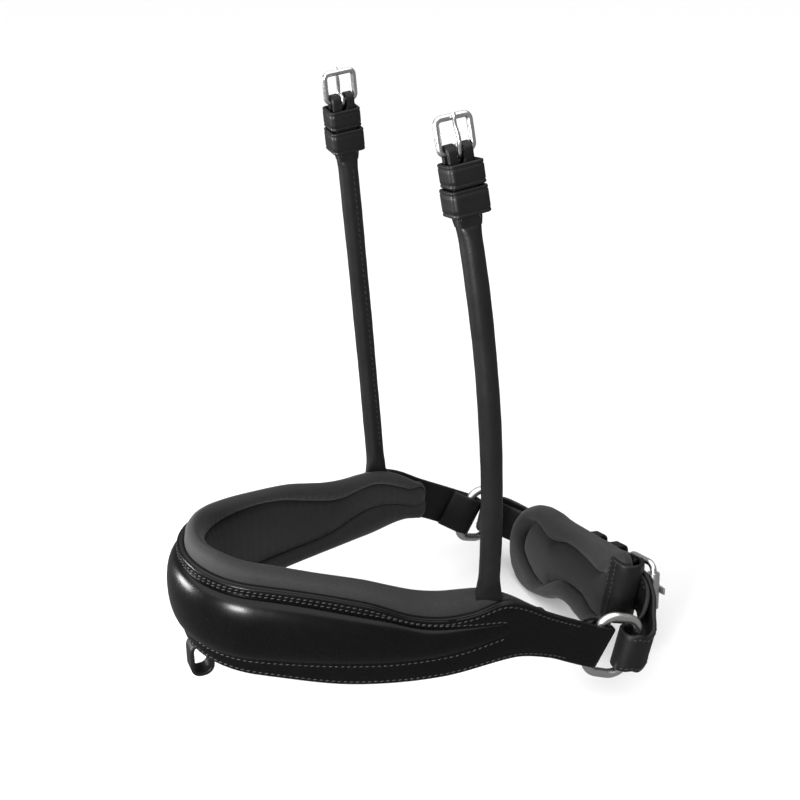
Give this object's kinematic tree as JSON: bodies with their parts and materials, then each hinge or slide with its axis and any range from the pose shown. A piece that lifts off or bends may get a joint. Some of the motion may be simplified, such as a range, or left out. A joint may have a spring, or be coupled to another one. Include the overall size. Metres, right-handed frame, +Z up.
{
  "type": "padded crank noseband",
  "caption": "Padded black leather crank noseband for a horse: raised front, soft lining, rolled cheekpieces with buckles, end rings and a chin pad on a doubled-back strap.",
  "frame": {"origin": "on the mid plane, inside the nose loop, level with the lower edge of the noseband where the nose sits", "axes": "+Z up along the cheekpieces, -Y towards the front of the nose, +X to the right-hand cheekpiece"},
  "size_m": [0.1526, 0.2357, 0.2851],
  "materials": {
    "front_leather": "glossy smooth black bridle leather",
    "strap_leather": "satin black bridle leather, stitched edges",
    "roll_leather": "satin black rolled leather",
    "pad_leather": "matt soft nappa, charcoal black",
    "foam": "closed-cell foam filling",
    "core": "felt and cord filling",
    "steel": "polished stainless steel"
  },
  "bodies": {
    "noseband": {"noseband_backing": "strap_leather", "raised_front": "front_leather", "front_core": "core", "cheek_root_right": "strap_leather", "cheek_root_left": "strap_leather", "nose_pad_cover": "pad_leather", "nose_pad_foam": "foam", "flash_loop": "strap_leather"},
    "right_ring": {"right_ring": "steel"},
    "left_ring": {"left_ring": "steel"},
    "chin": {"chin_pad_cover": "pad_leather", "chin_pad_foam": "foam", "chin_pad_plate": "strap_leather", "crank_strap_right": "strap_leather", "crank_strap_left": "strap_leather", "crank_leg_right": "strap_leather", "crank_leg_left": "strap_leather", "crank_turn_right": "strap_leather", "crank_turn_left": "strap_leather", "crank_chape": "strap_leather", "crank_buckle_frame": "steel", "crank_fixed_keeper": "strap_leather"},
    "crank_roller": {"crank_roller": "steel"},
    "crank_tongue": {"crank_tongue": "steel"},
    "crank_running_keeper": {"crank_running_keeper": "strap_leather"},
    "cheek_right": {"rolled_cheek_right": "roll_leather", "cheek_core_right": "core", "cheek_strap_right": "strap_leather", "fixed_keeper_right": "strap_leather"},
    "cheek_slider_right": {"running_keeper_right": "strap_leather"},
    "cheek_buckle_right": {"cheek_buckle_right": "steel"},
    "cheek_tongue_right": {"cheek_tongue_right": "steel"},
    "cheek_left": {"rolled_cheek_left": "roll_leather", "cheek_core_left": "core", "cheek_strap_left": "strap_leather", "fixed_keeper_left": "strap_leather"},
    "cheek_slider_left": {"running_keeper_left": "strap_leather"},
    "cheek_buckle_left": {"cheek_buckle_left": "steel"},
    "cheek_tongue_left": {"cheek_tongue_left": "steel"}
  },
  "joints": [
    {"name": "cheek_swing_right", "type": "hinge", "parent": "noseband", "child": "cheek_right", "pos_m": [0.0633, 0.0304, 0.0402], "axis": [1, 0, 0], "range_deg": [-12, 12]},
    {"name": "keeper_slide_right", "type": "slide", "parent": "cheek_right", "child": "cheek_slider_right", "axis": [-0.1229, -0.1377, 0.9828], "range_m": [-0.005, 0]},
    {"name": "buckle_tilt_right", "type": "hinge", "parent": "cheek_right", "child": "cheek_buckle_right", "pos_m": [0.05806, 0.01185, 0.23091], "axis": [0, 0.9903, 0.1388], "range_deg": [-30, 30]},
    {"name": "tongue_lift_right", "type": "hinge", "parent": "cheek_buckle_right", "child": "cheek_tongue_right", "pos_m": [0.05806, 0.01185, 0.23091], "axis": [0, 0.9903, 0.1388], "range_deg": [0, 60]},
    {"name": "ring_swing_right", "type": "hinge", "parent": "noseband", "child": "right_ring", "pos_m": [0.06631, 0.0862, -0.00595], "axis": [0, 0.342, 0.9397], "range_deg": [-4, 4]},
    {"name": "cheek_swing_left", "type": "hinge", "parent": "noseband", "child": "cheek_left", "pos_m": [-0.0633, 0.0304, 0.0402], "axis": [1, 0, 0], "range_deg": [-12, 12]},
    {"name": "keeper_slide_left", "type": "slide", "parent": "cheek_left", "child": "cheek_slider_left", "axis": [0.1229, -0.1377, 0.9828], "range_m": [-0.005, 0]},
    {"name": "buckle_tilt_left", "type": "hinge", "parent": "cheek_left", "child": "cheek_buckle_left", "pos_m": [-0.05806, 0.01185, 0.23091], "axis": [0, -0.9903, -0.1388], "range_deg": [-30, 30]},
    {"name": "tongue_lift_left", "type": "hinge", "parent": "cheek_buckle_left", "child": "cheek_tongue_left", "pos_m": [-0.05806, 0.01185, 0.23091], "axis": [0, -0.9903, -0.1388], "range_deg": [0, 60]},
    {"name": "ring_swing_left", "type": "hinge", "parent": "noseband", "child": "left_ring", "pos_m": [-0.06631, 0.0862, -0.00595], "axis": [0, 0.342, 0.9397], "range_deg": [-4, 4]},
    {"name": "chin_slack", "type": "slide", "parent": "noseband", "child": "chin", "axis": [0, 1, 0], "range_m": [-0.002, 0.0005]},
    {"name": "roller_spin", "type": "hinge", "parent": "chin", "child": "crank_roller", "pos_m": [0.05121, 0.13074, 0.00196], "axis": [-0.2071, 0.0872, 0.9744], "continuous": true},
    {"name": "crank_tongue_lift", "type": "hinge", "parent": "chin", "child": "crank_tongue", "pos_m": [0.03165, 0.13074, -0.00219], "axis": [-0.2071, 0.0872, 0.9744], "range_deg": [0, 40]},
    {"name": "crank_keeper_slide", "type": "slide", "parent": "chin", "child": "crank_running_keeper", "axis": [0.9781, 0, 0.2079], "range_m": [-0.004, 0.004]}
  ]
}
